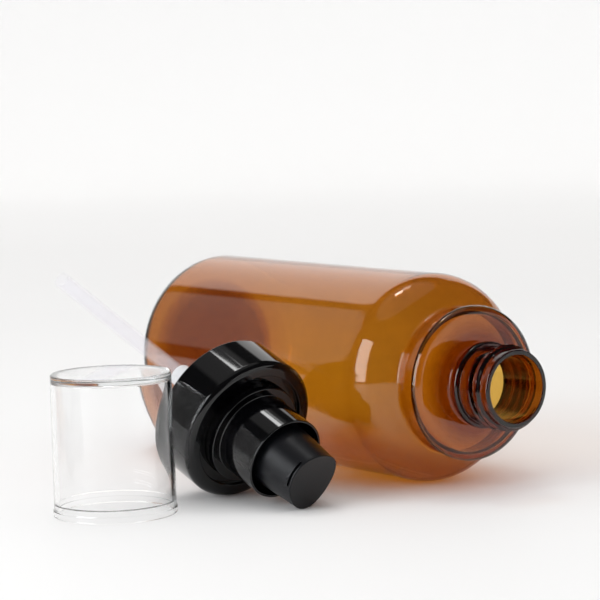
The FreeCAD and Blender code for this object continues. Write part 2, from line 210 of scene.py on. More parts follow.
# ---------------------------------------------------------------- outlines
def rounded(points):
    """Closed outline of (radius, height) from corners (radius, height[, corner radius])."""
    outline = []
    count = len(points)
    for i in range(count):
        here = Vector(points[i][:2])
        size = points[i][2] if len(points[i]) > 2 else 0.0
        if size <= 0:
            outline.append(tuple(here))
            continue
        back = (Vector(points[i - 1][:2]) - here).normalized()
        ahead = (Vector(points[(i + 1) % count][:2]) - here).normalized()
        half = back.angle(ahead) / 2
        reach = size / math.tan(half)
        centre = here + (back + ahead).normalized() * (size / math.sin(half))
        first = here + back * reach - centre
        last = here + ahead * reach - centre
        sweep = math.pi - 2 * half
        if first.x * last.y - first.y * last.x < 0:
            sweep = -sweep
        steps = max(2, math.ceil(abs(math.degrees(sweep)) / ARC_STEP))
        for k in range(steps + 1):
            turn = sweep * k / steps
            c, s = math.cos(turn), math.sin(turn)
            outline.append((centre.x + first.x * c - first.y * s, centre.y + first.x * s + first.y * c))
    return outline


def refined(outline, low, high, r_low, r_high, step=THREAD_STEP):
    """The outline with rows added along walls that lie between two heights and two radii."""
    result = []
    count = len(outline)
    for i in range(count):
        a, b = outline[i], outline[(i + 1) % count]
        result.append(a)
        inside = all(low - 1e-6 <= p[1] <= high + 1e-6 and r_low <= p[0] <= r_high for p in (a, b))
        length = math.hypot(b[0] - a[0], b[1] - a[1])
        if inside and length > step:
            parts = math.ceil(length / step)
            for k in range(1, parts):
                t = k / parts
                result.append((a[0] + (b[0] - a[0]) * t, a[1] + (b[1] - a[1]) * t))
    return result


def ease(t):
    """Smooth step from 0 to 1."""
    t = min(1.0, max(0.0, t))
    return t * t * (3 - 2 * t)


def ridge(angle, height, low, start, turns, root, crest):
    """Share of the full ridge height that a screw thread has at this angle (degrees) and height."""
    best = 0.0
    first = ((angle - start) % 360.0) / 360.0
    k = 0
    while first + k <= turns:
        t = first + k
        away = abs(height - (low + THREAD_PITCH * t))
        share = ease((root / 2 - away) / (root / 2 - crest / 2))
        fade = ease(t / THREAD_FADE) * ease((turns - t) / THREAD_FADE)
        best = max(best, share * fade)
        k += 1
    return best


# ---------------------------------------------------------------- meshes
def add_object(name, data=None):
    """Scene object for a mesh, lamp or camera, or an empty if there is no data."""
    obj = bpy.data.objects.new(name, data)
    bpy.context.scene.collection.objects.link(obj)
    return obj


def new_object(name, bm, place):
    """Scene object from a mesh in local axes, put at its place in the frame."""
    bmesh.ops.recalc_face_normals(bm, faces=bm.faces)
    mesh = bpy.data.meshes.new(name)
    bm.to_mesh(mesh)
    bm.free()
    mesh.transform(place)
    return add_object(name, mesh)


def span(bm, a, b):
    """Band of faces between two rings of points, either of which may be one point on the axis."""
    count = max(len(a), len(b))
    for k in range(count if count > 1 else 0):
        n = (k + 1) % count
        if len(a) == 1:
            bm.faces.new((a[0], b[n], b[k]))
        elif len(b) == 1:
            bm.faces.new((a[k], a[n], b[0]))
        else:
            bm.faces.new((a[k], a[n], b[n], b[k]))


def lathe(name, outline, place, segments, shape=None):
    """Turned closed mesh; shape(radius, height, degrees) gives each point's final radius and height."""
    bm = bmesh.new()
    rows = []
    for r, w in outline:
        if r < 1e-6:
            rows.append([bm.verts.new((0, 0, w * MM))])
            continue
        row = []
        for k in range(segments):
            a = math.tau * k / segments
            rr, ww = shape(r, w, math.degrees(a)) if shape else (r, w)
            row.append(bm.verts.new((rr * MM * math.cos(a), rr * MM * math.sin(a), ww * MM)))
        rows.append(row)
    for i in range(len(rows)):
        span(bm, rows[i], rows[(i + 1) % len(rows)])
    return new_object(name, bm, place)


def box_mesh(name, low, high, place, turn=0.0):
    """Block between two corners, turned about the local axis: a tool for joining or cutting."""
    bm = bmesh.new()
    corners = [(low[0] if i & 1 else high[0], low[1] if i & 2 else high[1], low[2] if i & 4 else high[2])
               for i in range(8)]
    verts = [bm.verts.new(Vector(c) * MM) for c in corners]
    for face in ((0, 1, 3, 2), (4, 6, 7, 5), (0, 4, 5, 1), (2, 3, 7, 6), (0, 2, 6, 4), (1, 5, 7, 3)):
        bm.faces.new([verts[i] for i in face])
    return new_object(name, bm, place @ Matrix.Rotation(math.radians(turn), 4, "Z"))


def stadium_mesh(name, back, front, half_width, half_height, level, place, turn):
    """Slot-shaped bar that points out along the local radius: the outlet's own shape."""
    bm = bmesh.new()
    side = half_width - half_height
    points = 32
    rim = []
    for k in range(points):
        a = 2 * math.pi * (k + 0.5) / points
        shift = side if math.cos(a) > 0 else -side
        rim.append((shift + half_height * math.cos(a), level + half_height * math.sin(a)))
    near = [bm.verts.new((back * MM, y * MM, z * MM)) for y, z in rim]
    far = [bm.verts.new((front * MM, y * MM, z * MM)) for y, z in rim]
    bm.faces.new(near)
    bm.faces.new(list(reversed(far)))
    span(bm, near, far)
    return new_object(name, bm, place @ Matrix.Rotation(math.radians(turn), 4, "Z"))


def combine(target, tools, operation):
    """Joins the tools to the target, or cuts them out of it, and keeps the resulting mesh."""
    for tool in tools:
        step = target.modifiers.new("combine", "BOOLEAN")
        step.operation = operation
        step.solver = "EXACT"
        step.object = tool
    bpy.context.view_layer.update()
    graph = bpy.context.evaluated_depsgraph_get()
    result = bpy.data.meshes.new_from_object(target.evaluated_get(graph))
    target.modifiers.clear()
    target.data = result
    for tool in tools:
        bpy.data.objects.remove(tool)


def wire_coil(name, radius, wire, low, high, coils, place):
    """Round wire wound into a coil, with closed ends."""
    bm = bmesh.new()
    steps, sides = int(coils * 40), 12
    rise = Vector((0, 0, 1))
    rows = []
    for i in range(steps + 1):
        t = i / steps
        a = 2 * math.pi * coils * t
        out = Vector((math.cos(a), math.sin(a), 0))
        centre = out * radius + rise * (low + (high - low) * t)
        row = []
        for k in range(sides):
            b = 2 * math.pi * k / sides
            row.append(bm.verts.new((centre + out * wire * math.cos(b) + rise * wire * math.sin(b)) * MM))
        rows.append(row)
    for a, b in zip(rows, rows[1:]):
        span(bm, a, b)
    bm.faces.new(rows[0])
    bm.faces.new(list(reversed(rows[-1])))
    return new_object(name, bm, place)


# ---------------------------------------------------------------- materials
WHITE = (1, 1, 1)
AMBER_DEEP = (0.42, 0.22, 0.10)


class Nodes:
    """Small helper that builds the node tree of a material or of a world."""

    def __init__(self, owner, output="ShaderNodeOutputMaterial", coordinates="Object"):
        owner.use_nodes = True
        self.owner = owner
        self.tree = owner.node_tree
        self.tree.nodes.clear()
        self.out = self.add(output)
        self.coord = self.add("ShaderNodeTexCoord").outputs[coordinates]

    def add(self, kind, **values):
        node = self.tree.nodes.new(kind)
        for key, value in values.items():
            setattr(node, key, value)
        return node

    def put(self, node, socket, value):
        """Links another node's output to the socket, or sets the socket's own value."""
        target = node.inputs[socket]
        if isinstance(value, bpy.types.NodeSocket):
            self.tree.links.new(value, target)
        else:
            target.default_value = value

    def noise(self, scale, detail=3.0, rough=0.5, stretch=(1, 1, 1)):
        mapping = self.add("ShaderNodeMapping")
        self.put(mapping, "Vector", self.coord)
        self.put(mapping, "Scale", stretch)
        node = self.add("ShaderNodeTexNoise")
        self.put(node, "Vector", mapping.outputs[0])
        self.put(node, "Scale", scale)
        self.put(node, "Detail", detail)
        self.put(node, "Roughness", rough)
        return node.outputs["Fac"]

    def ramp(self, fac, low, high, from_low=0.0, from_high=1.0):
        node = self.add("ShaderNodeMapRange")
        self.put(node, "Value", fac)
        self.put(node, "From Min", from_low)
        self.put(node, "From Max", from_high)
        self.put(node, "To Min", low)
        self.put(node, "To Max", high)
        return node.outputs[0]

    def split(self):
        """The three parts of the coordinate."""
        node = self.add("ShaderNodeSeparateXYZ")
        self.put(node, 0, self.coord)
        return node.outputs

    def math(self, operation, a, b=None, clamp=False):
        node = self.add("ShaderNodeMath", operation=operation, use_clamp=clamp)
        self.put(node, 0, a)
        if b is not None:
            self.put(node, 1, b)
        return node.outputs[0]

    def product(self, first, *others):
        for other in others:
            first = self.math("MULTIPLY", first, other)
        return first

    def colour(self, fac, dark, light):
        node = self.add("ShaderNodeMix", data_type="RGBA")
        self.put(node, 0, fac)
        self.put(node, 6, (*dark, 1))
        self.put(node, 7, (*light, 1))
        return node.outputs[2]

    def bump(self, height, distance, strength=1.0, normal=None):
        node = self.add("ShaderNodeBump")
        self.put(node, "Height", height)
        self.put(node, "Distance", distance)
        self.put(node, "Strength", strength)
        if normal is not None:
            self.put(node, "Normal", normal)
        return node.outputs[0]

    def scratches(self, scale, angle):
        """Thin random lines: stretched noise cut close to one level."""
        mapping = self.add("ShaderNodeMapping")
        self.put(mapping, "Vector", self.coord)
        self.put(mapping, "Rotation", angle)
        self.put(mapping, "Scale", (1.0, 14.0, 5.0))
        node = self.add("ShaderNodeTexNoise")
        self.put(node, "Vector", mapping.outputs[0])
        self.put(node, "Scale", scale)
        self.put(node, "Detail", 1.0)
        away = self.math("ABSOLUTE", self.math("SUBTRACT", node.outputs["Fac"], 0.5))
        return self.ramp(away, 1.0, 0.0, 0.0, 0.02)

    def mix(self, fac, first, second):
        """Blend of two shader nodes."""
        node = self.add("ShaderNodeMixShader")
        self.put(node, 0, fac)
        self.put(node, 1, first.outputs[0])
        self.put(node, 2, second.outputs[0])
        return node

    def finish(self, shader):
        """Makes the shader node the tree's surface and gives back the material or world."""
        self.put(self.out, "Surface", shader.outputs[0])
        return self.owner

    def through(self, shader, tint):
        """Lets shadow and diffuse rays straight through a clear piece, so it casts a tinted soft shadow."""
        path = self.add("ShaderNodeLightPath")
        skip = self.math("MAXIMUM", path.outputs["Is Shadow Ray"], path.outputs["Is Diffuse Ray"])
        clear = self.add("ShaderNodeBsdfTransparent")
        self.put(clear, "Color", (*tint, 1))
        return self.mix(skip, shader, clear)


def new_nodes(name):
    return Nodes(bpy.data.materials.new(name))


def clear_material(name, ior, roughness, tint, density, absorb, stain=None):
    """Clear moulded plastic: wavy wall, fine scuffs, colour from the depth of wall and from any stain."""
    wave = 0.00006
    n = new_nodes(name)
    shader = n.add("ShaderNodeBsdfPrincipled")
    n.put(shader, "Base Color", stain(n) if stain else (*WHITE, 1))
    n.put(shader, "Transmission Weight", 1.0)
    n.put(shader, "IOR", ior)
    scuff = n.scratches(260, (0.3, 0.9, 0.2))
    haze = n.noise(900, 4.0)
    rough = n.ramp(haze, roughness * 0.6, roughness * 1.6)
    n.put(shader, "Roughness", n.math("ADD", rough, n.product(scuff, 0.02)))
    slow = n.bump(n.noise(26, 2.0), wave)
    n.put(shader, "Normal", n.bump(n.noise(700, 3.0), wave * 0.02, 0.6, slow))
    volume = n.add("ShaderNodeVolumeAbsorption")
    n.put(volume, "Color", (*absorb, 1))
    n.put(volume, "Density", density)
    n.put(n.out, "Volume", volume.outputs[0])
    return n.finish(n.through(shader, tint))


def amber_stain(n):
    """Amber plastic is deeper in colour where blowing stretches it least: base, shoulder and neck."""
    start, centre = bottle_low.x, BODY_R * MM
    along, side, up = n.split()
    height = n.product(n.math("SUBTRACT", along, start), 1 / MM)
    up = n.math("SUBTRACT", up, centre)
    away = n.math("SQRT", n.math("ADD", n.product(side, side), n.product(up, up)))
    disc = n.ramp(away, 0.85, 0.0, (BASE_RING_R - 3.5) * MM, (BASE_RING_R + 2.0) * MM)
    base = n.product(n.ramp(height, 1.0, 0.0, 7.0, 9.0), disc)
    near = n.ramp(away, 1.0, 0.12, (NECK_R + 2.5) * MM, (STEP_R - 2.0) * MM)
    neck = n.product(n.ramp(height, 0.0, 1.0, STEP_TOP - 2.4, STEP_TOP - 1.0), near)
    shoulder = n.product(n.ramp(height, 0.0, 0.42, SHOULDER_FOOT - 10.0, STEP_FOOT),
                         n.ramp(height, 1.0, 0.0, STEP_FOOT + 1.0, RIM_FOOT))
    depth = n.math("MAXIMUM", n.math("MAXIMUM", neck, shoulder), base)
    return n.colour(depth, WHITE, AMBER_DEEP)


def moulded_material(name, dark, light, rough, grain_scale, grain_depth, specular, wear):
    """Opaque moulded plastic: faint flow marks in colour, fine grain in roughness and bump."""
    n = new_nodes(name)
    shader = n.add("ShaderNodeBsdfPrincipled")
    flow = n.noise(45, 5.0, 0.6, (1.0, 1.0, 2.4))
    n.put(shader, "Base Color", n.colour(flow, dark, light))
    grain = n.noise(grain_scale, 3.0, 0.6)
    patch = n.noise(70, 3.0)
    dust = n.ramp(n.noise(2600, 1.0), 0.0, 1.0, 0.70, 0.78)
    level = n.ramp(patch, rough * 0.8, rough * 1.2)
    level = n.math("ADD", level, n.ramp(grain, -0.04 * rough, 0.04 * rough))
    if wear:
        level = n.math("ADD", level, n.product(n.scratches(300, (0.2, 0.5, 1.1)), wear))
    level = n.math("ADD", level, n.product(dust, 0.08), True)
    n.put(shader, "Roughness", level)
    n.put(shader, "Specular IOR Level", specular)
    slow = n.bump(n.noise(40, 2.0), grain_depth * 4, 0.5)
    n.put(shader, "Normal", n.bump(grain, grain_depth, 0.8, slow))
    return n.finish(shader)


def milky_material(name, colour, rough, through, tint):
    """Natural polyolefin: milky, part of the light scatters and part passes."""
    n = new_nodes(name)
    cloud = n.noise(120, 4.0)
    body = n.add("ShaderNodeBsdfPrincipled")
    paler = tuple(min(1.0, c * 1.05) for c in colour)
    n.put(body, "Base Color", n.colour(cloud, colour, paler))
    n.put(body, "Roughness", n.ramp(n.noise(500, 3.0), rough * 0.8, rough * 1.25))
    n.put(body, "Normal", n.bump(n.noise(420, 4.0, 0.6), 0.00002, 0.8))
    passing = n.add("ShaderNodeBsdfTranslucent")
    n.put(passing, "Color", (*tint, 1))
    see = n.add("ShaderNodeBsdfTransparent")
    n.put(see, "Color", (*tint, 1))
    share = n.ramp(cloud, through * 0.96, through * 1.04)
    return n.finish(n.mix(share, n.mix(0.45, body, passing), see))


def metal_material(name):
    """Drawn stainless wire: fine lines, slightly uneven polish."""
    n = new_nodes(name)
    shader = n.add("ShaderNodeBsdfPrincipled")
    lines = n.noise(900, 4.0, 0.6, (1, 1, 6))
    n.put(shader, "Base Color", n.colour(lines, (0.42, 0.43, 0.45), (0.68, 0.69, 0.71)))
    n.put(shader, "Metallic", 1.0)
    n.put(shader, "Roughness", n.ramp(lines, 0.18, 0.34))
    n.put(shader, "Normal", n.bump(lines, 0.000008, 0.7))
    return n.finish(shader)


def foam_material(name):
    """Closed-cell foam sheet."""
    n = new_nodes(name)
    shader = n.add("ShaderNodeBsdfPrincipled")
    cells = n.add("ShaderNodeTexVoronoi")
    n.put(cells, "Vector", n.coord)
    n.put(cells, "Scale", 2600)
    bubble = cells.outputs["Distance"]
    n.put(shader, "Base Color", n.colour(bubble, (0.80, 0.80, 0.78), (0.93, 0.93, 0.91)))
    n.put(shader, "Roughness", n.ramp(n.noise(900), 0.7, 0.9))
    n.put(shader, "Normal", n.bump(bubble, 0.00006, 0.8))
    return n.finish(shader)


bottle_low, bottle_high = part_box("bottle")
MATERIALS = {name: make(name, *details) for name, make, *details in (
    ("amber_pet", clear_material, 1.57, 0.012, (0.99, 0.98, 0.96), 2400.0, (0.864, 0.655, 0.0), amber_stain),
    ("clear_plastic", clear_material, 1.49, 0.01, (0.95, 0.95, 0.95), 12.0, (0.55, 0.60, 0.60)),
    ("gloss_black", moulded_material, (0.0006, 0.0006, 0.0009), (0.0012, 0.0012, 0.0016),
     0.07, 1400, 0.000001, 0.5, 0.03),
    ("satin_black", moulded_material, (0.0022, 0.0024, 0.0036), (0.0045, 0.0047, 0.0064),
     0.36, 1100, 0.00001, 0.27, 0.0),
    ("natural_pp", milky_material, (0.80, 0.81, 0.82), 0.28, 0.22, (0.92, 0.93, 0.94)),
    ("natural_pe", milky_material, (0.84, 0.84, 0.83), 0.4, 0.1, (0.9, 0.9, 0.9)),
    ("foam_white", foam_material),
    ("spring_steel", metal_material),
    ("clear_tube", milky_material, (0.93, 0.93, 0.96), 0.2, 0.88, (0.975, 0.975, 0.985)),
)}


# ---------------------------------------------------------------- places
def local_frame(origin, axis):
    """Matrix that stands a piece's local Z along the axis, as the CAD lays it out."""
    axis = Vector(axis).normalized()
    if axis.z > 0.999:
        return Matrix.Translation(origin)
    across = Vector((-axis.y, axis.x, 0)).normalized()
    side = across.cross(axis)
    turn = Matrix((side, across, axis)).transposed().to_4x4()
    return Matrix.Translation(origin) @ turn


mounts = {m["name"]: m for m in frame["record"]["mounts"]}
bottle_foot = Vector((bottle_low.x, 0, (bottle_low.z + bottle_high.z) / 2))
BOTTLE = local_frame(bottle_foot, mounts["mouth_bore"]["axis"])
pump_mount = mounts["pump_thread"]
PUMP = local_frame(Vector(pump_mount["pos_m"]), -Vector(pump_mount["axis"]))
cap_low, cap_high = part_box("overcap")
CAP = Matrix.Translation(((cap_low.x + cap_high.x) / 2, (cap_low.y + cap_high.y) / 2, cap_low.z))


def finish_piece(obj, body, slot, *nodes):
    """Shade the piece, give it its material, tie it to its CAD body, and hide its CAD nodes."""
    obj.data.materials.clear()
    obj.data.materials.append(MATERIALS[slot])
    for polygon in obj.data.polygons:
        polygon.use_smooth = True
    obj.data.set_sharp_from_angle(angle=math.radians(SHARP_ANGLE))
    fair = obj.modifiers.new("fair_normals", "WEIGHTED_NORMAL")
    fair.keep_sharp = True
    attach(obj, body)
    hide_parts(*nodes)


# ---------------------------------------------------------------- bottle
def build_bottle():
    step_in = STEP_R - STEP_WALL
    outline = rounded([
        (0, BASE_PUSH_UP),
        (BASE_RING_R * 0.45, BASE_PUSH_UP - 0.4, 12.0),
        (BASE_RING_R, 0, 1.6),
        (BODY_R, 0, BASE_CORNER),
        (BODY_R, SHOULDER_FOOT, SHOULDER_CURVE),
        (STEP_R, STEP_FOOT, STEP_ROOT_CURVE),
        (STEP_R, RIM_FOOT - RIM_RISE, 0.4),
        (RIM_R, RIM_FOOT, RIM_CURVE),
        (RIM_R, STEP_TOP, STEP_CURVE),
        (NECK_R, STEP_TOP + 0.4, 1.0),
        (NECK_R, MOUTH - BEAD_TOP - BEAD_HEIGHT, 0.25),
        (BEAD_R, MOUTH - BEAD_TOP - BEAD_HEIGHT, 0.5),
        (BEAD_R, MOUTH - BEAD_TOP, 0.8),
        (NECK_R, MOUTH - BEAD_TOP, 0.25),
        (NECK_R, MOUTH, 0.5),
        (NECK_BORE_R, MOUTH, 0.25),
        (NECK_BORE_R, STEP_TOP - STEP_WALL + 0.4, 1.4),
        (RIM_R - STEP_WALL, STEP_TOP - STEP_WALL, STEP_CURVE - 0.9),
        (RIM_R - STEP_WALL, RIM_FOOT, 0.4),
        (step_in, RIM_FOOT - RIM_RISE - 0.3, 0.5),
        (step_in, STEP_FOOT - 0.3, STEP_ROOT_CURVE + 1.0),
        (BODY_R - BODY_WALL, SHOULDER_FOOT - 0.5, SHOULDER_CURVE - BODY_WALL),
        (BODY_R - BODY_WALL, BASE_WALL * 0.6, BASE_CORNER - 1.0),
        (BASE_RING_R + 1.0, BASE_WALL * 0.6, 1.6),
        (BASE_RING_R * 0.45, BASE_PUSH_UP + BASE_WALL - 0.4, 12.0),
        (0, BASE_PUSH_UP + BASE_WALL),
    ])
    outline = refined(outline, MOUTH - BEAD_TOP, MOUTH, NECK_R - 0.6, NECK_R + 0.01)
    outline = refined(outline, 0, STEP_TOP, NECK_R + 3, BODY_R, 4.0)
    low = MOUTH - THREAD_TOP_GAP - RIDGE_SPAN / 2 - THREAD_PITCH * THREAD_TURNS

    def shape(r, w, angle):
        if r < NECK_R - 0.05 or w < MOUTH - BEAD_TOP + 0.3 or r > NECK_R + 0.3:
            return r, w
        rise = ridge(angle, w, low, THREAD_START, THREAD_TURNS, RIDGE_ROOT, RIDGE_CREST)
        return r + (THREAD_R - NECK_R) * rise, w

    obj = lathe("bottle_shell", outline, BOTTLE, BOTTLE_POINTS, shape)
    finish_piece(obj, "bottle", "amber_pet", "bottle")


# ---------------------------------------------------------------- overcap
def build_overcap():
    lip_in = CAP_R_OPEN - CAP_WALL + CAP_REBATE
    obj = lathe("overcap_shell", rounded([
        (0, CAP_HEIGHT),
        (CAP_R_TOP, CAP_HEIGHT, 0.5),
        (CAP_R_OPEN, CAP_LIP_HEIGHT + 0.5),
        (CAP_LIP_R, CAP_LIP_HEIGHT, 0.2),
        (CAP_LIP_R, 0, 0.3),
        (lip_in, 0, 0.2),
        (lip_in, CAP_REBATE_HEIGHT),
        (CAP_R_OPEN - CAP_WALL, CAP_REBATE_HEIGHT + 0.3),
        (CAP_R_TOP - CAP_WALL, CAP_HEIGHT - CAP_PLATE, 0.8),
        (0, CAP_HEIGHT - CAP_PLATE),
    ]), CAP, SHELL_POINTS)
    finish_piece(obj, "overcap", "clear_plastic", "overcap")


# ---------------------------------------------------------------- pump, outside
def build_collar():
    floor = COLLAR_FACE - WELL_DEPTH
    under = floor - COLLAR_PLATE
    hole = CLOSURE_R + HAIR
    obj = lathe("collar_cup", rounded([
        (COLLAR_R - COLLAR_WALL, COLLAR_FOOT, 0.2),
        (COLLAR_R, COLLAR_FOOT, 0.4),
        (COLLAR_R, COLLAR_FACE, COLLAR_CURVE),
        (WELL_R, COLLAR_FACE, 0.25),
        (WELL_R, floor, 0.2),
        (hole, floor, 0.2),
        (hole, SLEEVE_FOOT, 0.2),
        (hole + SLEEVE_WALL, SLEEVE_FOOT, 0.2),
        (hole + SLEEVE_WALL, under, 0.3),
        (COLLAR_R - COLLAR_WALL, under, 0.8),
    ]), PUMP, SHELL_POINTS)
    ribs = []
    for i in range(COLLAR_RIBS):
        low = (hole + SLEEVE_WALL - 0.4, -RIB_WIDTH / 2, SLEEVE_FOOT + 1.0)
        high = (COLLAR_R - COLLAR_WALL + 0.4, RIB_WIDTH / 2, under + 0.3)
        ribs.append(box_mesh(f"rib_tool_{i}", low, high, PUMP, 360.0 * i / COLLAR_RIBS))
    combine(obj, ribs, "UNION")
    finish_piece(obj, "collar", "gloss_black", "collar_shell")


def build_closure():
    ledge_top = LEDGE_UNDERSIDE + LEDGE_THICKNESS
    outline = rounded([
        (CLOSURE_THREAD_R, CLOSURE_FOOT, 0.3),
        (CLOSURE_R, CLOSURE_FOOT, 0.3),
        (CLOSURE_R, CLOSURE_BEAD_Z - 0.5),
        (CLOSURE_R + CLOSURE_BEAD, CLOSURE_BEAD_Z, 0.2),
        (CLOSURE_R, CLOSURE_BEAD_Z + 0.5),
        (CLOSURE_R, CLOSURE_SHOULDER, 0.3),
        (TOWER_R, CLOSURE_SHOULDER, TOWER_ROOT_CURVE),
        (TOWER_R, TOWER_TOP, 0.35),
        (TOWER_BORE_R, TOWER_TOP, 0.35),
        (TOWER_BORE_R, ledge_top, 0.4),
        (LEDGE_HOLE_R, ledge_top),
        (LEDGE_HOLE_R, LEDGE_UNDERSIDE),
        (SEAT_R, LEDGE_UNDERSIDE, 0.2),
        (SEAT_R, SEAT_FOOT),
        (CLOSURE_THREAD_R, SEAT_FOOT - 0.5),
    ])
    outline = refined(outline, CLOSURE_FOOT, SEAT_FOOT, CLOSURE_THREAD_R - 0.01, CLOSURE_THREAD_R + 0.01)
    low = -THREAD_TOP_GAP - RIDGE_SPAN / 2 - THREAD_PITCH * CLOSURE_THREAD_DROP

    def shape(r, w, angle):
        if abs(r - CLOSURE_THREAD_R) > 0.05 or w > SEAT_FOOT - 0.6:
            return r, w
        rise = ridge(angle, w, low, 0.0, CLOSURE_TURNS, CLOSURE_RIDGE_ROOT, CLOSURE_RIDGE_CREST)
        return r - (CLOSURE_THREAD_R - CLOSURE_RIDGE_R) * rise, w

    obj = lathe("closure_and_tower", outline, PUMP, CLOSURE_POINTS, shape)
    finish_piece(obj, "collar", "gloss_black", "closure")


def groove_height(r, angle):
    """Height of the finger groove over a point of the actuator's top."""
    away = math.radians(angle - OUTLET_ANGLE)
    along, across = r * math.cos(away), r * math.sin(away)
    sag = GROOVE_R - math.sqrt(GROOVE_R ** 2 - across ** 2)
    slope = math.radians(GROOVE_SLOPE)
    return GROOVE_CENTRE + along * math.tan(slope) + sag / math.cos(slope)


def build_actuator():
    taper = (ACT_R_FOOT - ACT_R_TIP) / (ACT_BLANK_TOP - ACT_FOOT)
    top = GROOVE_CENTRE
    top_r = ACT_R_TIP + taper * (ACT_BLANK_TOP - top)
    outline = rounded([
        (0, top),
        (top_r, top, GROOVE_EDGE),
        (ACT_R_FOOT, ACT_FOOT, 0.3),
        (ACT_R_FOOT - ACT_WALL, ACT_FOOT, 0.2),
        (ACT_R_TIP - ACT_WALL, ACT_PLATE_UNDER, 0.8),
        (HUB_R, ACT_PLATE_UNDER, 0.5),
        (HUB_R, HUB_FOOT, 0.3),
        (STEM_R + HAIR, HUB_FOOT, 0.2),
        (STEM_R + HAIR, STEM_TOP + 0.05),
        (STEM_BORE_R, STEM_TOP + 0.05),
        (STEM_BORE_R, BORE_TOP),
        (0, BORE_TOP),
    ])
    outline = refined(outline, top - 0.01, top + 0.01, 0, top_r, 0.5)
    outline = refined(outline, ACT_FOOT + 0.3, top, top_r - 0.1, ACT_R_FOOT, 0.5)
    blend_foot = top - 5.0

    def shape(r, w, angle):
        outside = r > top_r - 0.35 and w > blend_foot or w > top - 0.01
        if not outside or r > ACT_R_FOOT:
            return r, w
        share = min(1.0, (w - blend_foot) / (top - GROOVE_EDGE - blend_foot))
        lift = (groove_height(r, angle) - top) * share
        return r - taper * lift if r > top_r - 0.35 else r, w + lift

    obj = lathe("actuator_button", outline, PUMP, SHELL_POINTS, shape)
    pocket = stadium_mesh("pocket_tool", OUTLET_R - OUTLET_DEPTH, OUTLET_R + 2, OUTLET_WIDTH / 2,
                          OUTLET_HEIGHT / 2, OUTLET_LEVEL, PUMP, OUTLET_ANGLE)
    combine(obj, [pocket], "DIFFERENCE")
    finish_piece(obj, "actuator", "satin_black", "actuator")


# ---------------------------------------------------------------- pump, engine and tube
def build_housing():
    obj = lathe("pump_body", rounded([
        (GUIDE_BORE_R, CROWN_TOP, 0.2),
        (CROWN_R, CROWN_TOP, 0.4),
        (CROWN_R, FLANGE_TOP, 0.2),
        (FLANGE_R, FLANGE_TOP, 0.2),
        (FLANGE_R, GASKET_THICKNESS, 0.2),
        (BARREL_R, GASKET_THICKNESS),
        (BARREL_R, BARREL_FOOT, 1.2),
        (SOCKET_R, BARREL_FOOT - 2.2, 0.8),
        (SOCKET_R, SOCKET_FOOT, 0.3),
        (TUBE_R, SOCKET_FOOT, 0.1),
        (TUBE_R, SOCKET_FLOOR),
        (INLET_R, SOCKET_FLOOR),
        (INLET_R, CAGE_FOOT - 1.0),
        (CAGE_R, CAGE_FOOT),
        (CAGE_R, CAGE_TOP),
        (BARREL_BORE_R, CAGE_TOP),
        (BARREL_BORE_R, GUIDE_DEPTH - 0.3),
        (GUIDE_BORE_R, GUIDE_DEPTH),
    ]), PUMP, HOUSING_POINTS)
    finish_piece(obj, "pump", "natural_pp", "pump_housing")


def build_tube():
    obj = lathe("suction_tube", rounded([
        (TUBE_R - 0.01, TUBE_END, 0.08),
        (TUBE_R - 0.01, SOCKET_FLOOR - 0.05, 0.08),
        (TUBE_BORE_R, SOCKET_FLOOR - 0.05, 0.08),
        (TUBE_BORE_R, TUBE_END, 0.08),
    ]), PUMP, TUBE_POINTS)
    finish_piece(obj, "pump", "clear_tube", "dip_tube")


def build_spring():
    """Coil between the housing's floor and the pin's head."""
    top = PISTON_FOOT - PIN_GAP - PIN_HEAD - SPRING_WIRE_R - SPRING_GAP
    foot = CAGE_TOP + SPRING_WIRE_R + SPRING_GAP
    obj = wire_coil("return_coil", SPRING_R, SPRING_WIRE_R, foot, top, SPRING_COILS, PUMP)
    finish_piece(obj, "pump", "spring_steel", "return_spring")
    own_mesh(obj)


def dress_cad_nodes():
    """The engine's small parts keep their CAD shape and take their own material."""
    slots = {
        "gasket": "foam_white",
        "lock_ring": "natural_pp",
        "stem": "natural_pp",
        "piston": "natural_pe",
        "valve_pin": "natural_pe",
        "check_ball": "spring_steel",
        "nozzle_insert": "satin_black",
    }
    for node, slot in slots.items():
        materials = frame["nodes"][node].data.materials
        materials.clear()
        materials.append(MATERIALS[slot])


build_bottle()
build_overcap()
build_collar()
build_closure()
build_actuator()
build_housing()
build_tube()
build_spring()
dress_cad_nodes()


# ---------------------------------------------------------------- stage, light and camera
# Lengths from here on are in metres and angles in degrees; azimuth 0 is +X and 90 is +Y.
FLOOR_R = 1.9
WALL_TOP = 0.55
COVE_R = 0.35           # of the curve between the table and the low wall
COVE_LIFT = 0.16        # glow added to the table's far edge, which gets less light
BACKDROP = 0.90         # what the camera sees past the table
FILL_LOW = 0.22         # sky seen by matt surfaces, at the horizon
FILL_TOP = 1.26         # and what is added to it straight above
THROUGH = 0.40          # room seen through clear pieces
ROOM = 0.05             # dark room seen in reflections, outside the panels
SKY = (1.0, 0.985, 0.97)
BACK_PANEL = (112, 181, 6, 40, 2.5)     # azimuths, elevations and soft edge of a pale panel
BACK_LEVEL = (1.15, 1.1, 130, 160)      # its brightness at two azimuths
LEFT_PANEL = (190, 216, 6, 36, 2)
LEFT_LEVEL = 0.44
CEILING = (0.0, 0.28, 57, 61)           # brightness below and above these elevations
AIM = (0.09, -0.04, 0.02)               # the point that every lamp faces
LAMPS = (                               # name, direction, distance, width, height, radiance, colour
    ("overhead", (-0.264, 0.065, 0.96), 1.15, 0.15, 0.15, 9.5, WHITE),
    ("overhead_fringe", (-0.264, 0.205, 0.94), 1.15, 0.15, 0.15, 2.5, WHITE),
    ("window", (-0.03, -0.95, 0.33), 1.3, 0.88, 0.95, 5.0, (0.94, 0.97, 1.0)),
)
